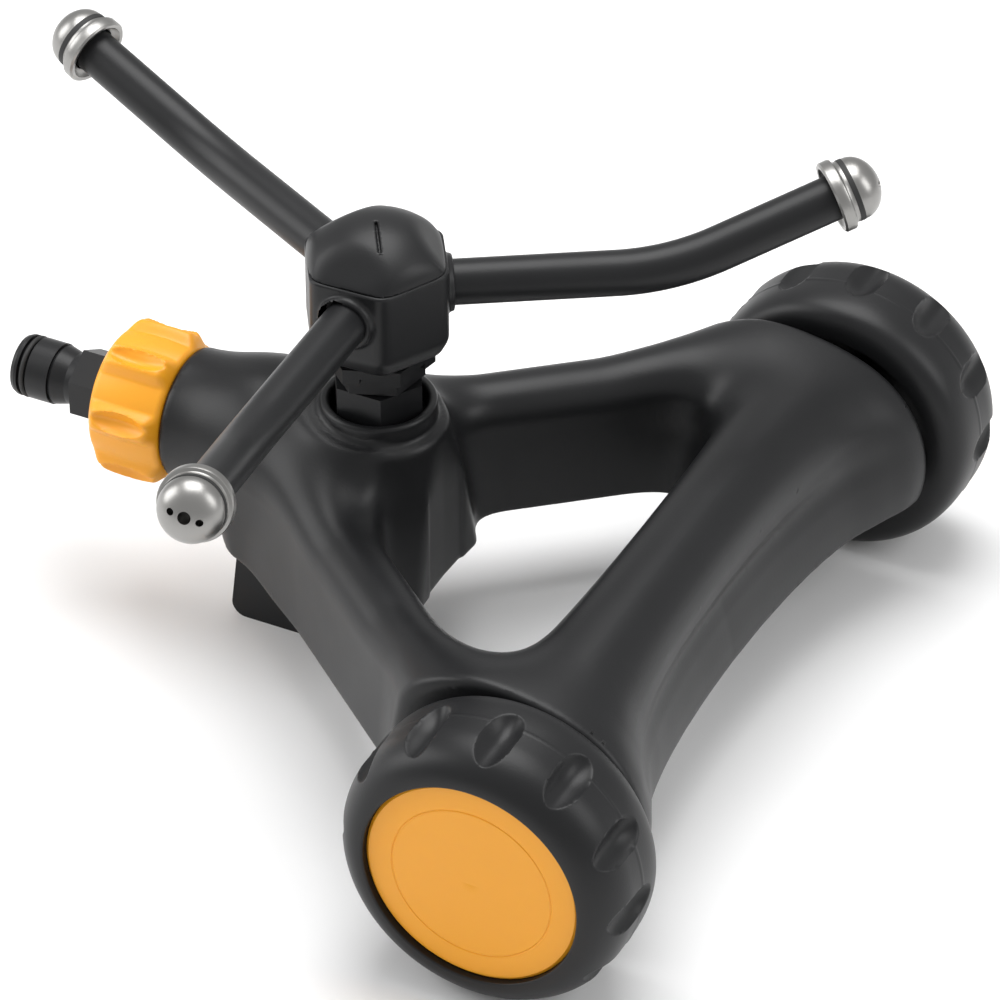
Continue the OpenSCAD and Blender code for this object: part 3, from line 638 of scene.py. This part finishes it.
def nozzle_profile():
    apex = NOZZLE_LIP + NOZZLE_LONG
    r = NOZZLE_R - 1.1
    dome = [(r * math.cos(a), apex - DOME_LONG + DOME_LONG * math.sin(a))
            for a in np.linspace(0, math.pi / 2 * 0.995, 22)]
    lip = [(r, NOZZLE_LIP + 3.9), (r + 0.25, NOZZLE_LIP + 3.5), (r + 1.0, NOZZLE_LIP + 3.2),
           (r + 1.2, NOZZLE_LIP + 2.8), (r + 1.2, NOZZLE_LIP + 0.5), (r + 0.7, NOZZLE_LIP)]
    inside = [(r - 0.2, NOZZLE_LIP + 0.1), (r - 0.7, NOZZLE_LIP + 0.9), (ARM_R + 0.5, NOZZLE_LIP + 1.6)]
    floor_ring = [(ARM_R + 0.5, TUBE_END - 2.4), (0.05, TUBE_END - 2.4)]
    return lip[::-1] + dome + floor_ring[::-1] + inside[::-1]


def nozzle_place(k):
    path, ups, across = arm_path(k)
    tail = (path[-1] - path[-2]) / np.linalg.norm(path[-1] - path[-2])
    knee = path[-1] - tail * ARM_TAIL
    up = ups[-1]

    def place(u, v, depth):
        return knee + np.outer(depth, tail) + np.outer(u, up) + np.outer(v, -across)
    return place


def cylinder_along(name, place, u, v, radius, start, end):
    profile = [(0.001, start), (radius, start), (radius, end), (0.001, end)]

    def shifted(a, b, depth):
        return place(a + u, b + v, depth)
    return fix_normals(turned(name, profile, 28, shifted, None, 50))


for k in range(3):
    place = nozzle_place(k)
    spun = fix_normals(turned("nozzle_%d_skin" % (k + 1), nozzle_profile(), 96, place, None, 1.2))
    for j in (-1, 0, 1):
        u, v = JET_PITCH * j * math.cos(JET_TURN), -JET_PITCH * j * math.sin(JET_TURN)
        drill = cylinder_along("drill", place, u, v, SIDE_JET_R if j else JET_R, TUBE_END - 2, TUBE_END + 8)
        cut = spun.modifiers.new("jet", "BOOLEAN")
        cut.object, cut.operation, cut.solver = drill, "DIFFERENCE", "EXACT"
        bpy.context.view_layer.update()
        mesh = bpy.data.meshes.new_from_object(spun.evaluated_get(bpy.context.evaluated_depsgraph_get()))
        spun.modifiers.clear()
        spun.data = mesh
        bpy.data.objects.remove(drill)
    finish_piece(crease(spun, 35), "nozzle_steel", "nozzle_%d_body" % (k + 1), "nozzle_%d" % (k + 1))


# ---- Floor, light and camera ----

def plain(name, colour, roughness):
    m = bpy.data.materials.new(name)
    m.use_nodes = True
    shader = m.node_tree.nodes["Principled BSDF"]
    socket(shader, "Base Color", (*colour, 1))
    socket(shader, "Roughness", roughness)
    return m


bpy.ops.mesh.primitive_plane_add(size=8, location=(0, 0, 0))
floor = bpy.context.object
floor.name = "floor"
floor.data.materials.append(plain("floor_paper", (0.86, 0.86, 0.86), 0.9))

world = bpy.data.worlds.new("studio")
bpy.context.scene.world = world
bpy.context.scene.view_settings.view_transform = "Standard"
world.use_nodes = True
world.node_tree.nodes["Background"].inputs["Color"].default_value = (1, 1, 1, 1)
world.node_tree.nodes["Background"].inputs["Strength"].default_value = 0.6


def soft_light(name, place, aim, size, power):
    data = bpy.data.lights.new(name, "AREA")
    data.shape = "RECTANGLE"
    data.size, data.size_y = size
    data.energy = power
    lamp = bpy.data.objects.new(name, data)
    lamp.location = place
    lamp.rotation_euler = (Vector(aim) - Vector(place)).to_track_quat("-Z", "Y").to_euler()
    bpy.context.scene.collection.objects.link(lamp)


middle = (0.03, 0, 0.05)
soft_light("top_softbox", (-0.1, 0.25, 1.25), middle, (0.9, 0.9), 14)
soft_light("left_softbox", (-1.1, -0.35, 0.7), middle, (0.7, 0.9), 8)
soft_light("right_softbox", (1.1, 0.2, 0.8), middle, (0.5, 0.9), 5)

AZIMUTH, ELEVATION, ROLL = math.radians(26.67), math.radians(36.46), math.radians(-0.13)
DISTANCE = 1.5415
TARGET = Vector((0.0335, 0.0004, 0.0492))
back = Vector((math.sin(AZIMUTH) * math.cos(ELEVATION),
               -math.cos(AZIMUTH) * math.cos(ELEVATION),
               math.sin(ELEVATION)))
camera_data = bpy.data.cameras.new("camera")
camera_data.lens = 218.7
camera_data.sensor_width = 36
camera_data.shift_x = 0.0019
camera_data.shift_y = 0.0231
camera_data.clip_start, camera_data.clip_end = 0.05, 50
camera = bpy.data.objects.new("camera", camera_data)
camera.location = TARGET + back * DISTANCE
turn = (-back).to_track_quat("-Z", "Y").to_matrix() @ Matrix.Rotation(ROLL, 3, "Z")
camera.rotation_euler = turn.to_euler()
bpy.context.scene.collection.objects.link(camera)
bpy.context.scene.camera = camera
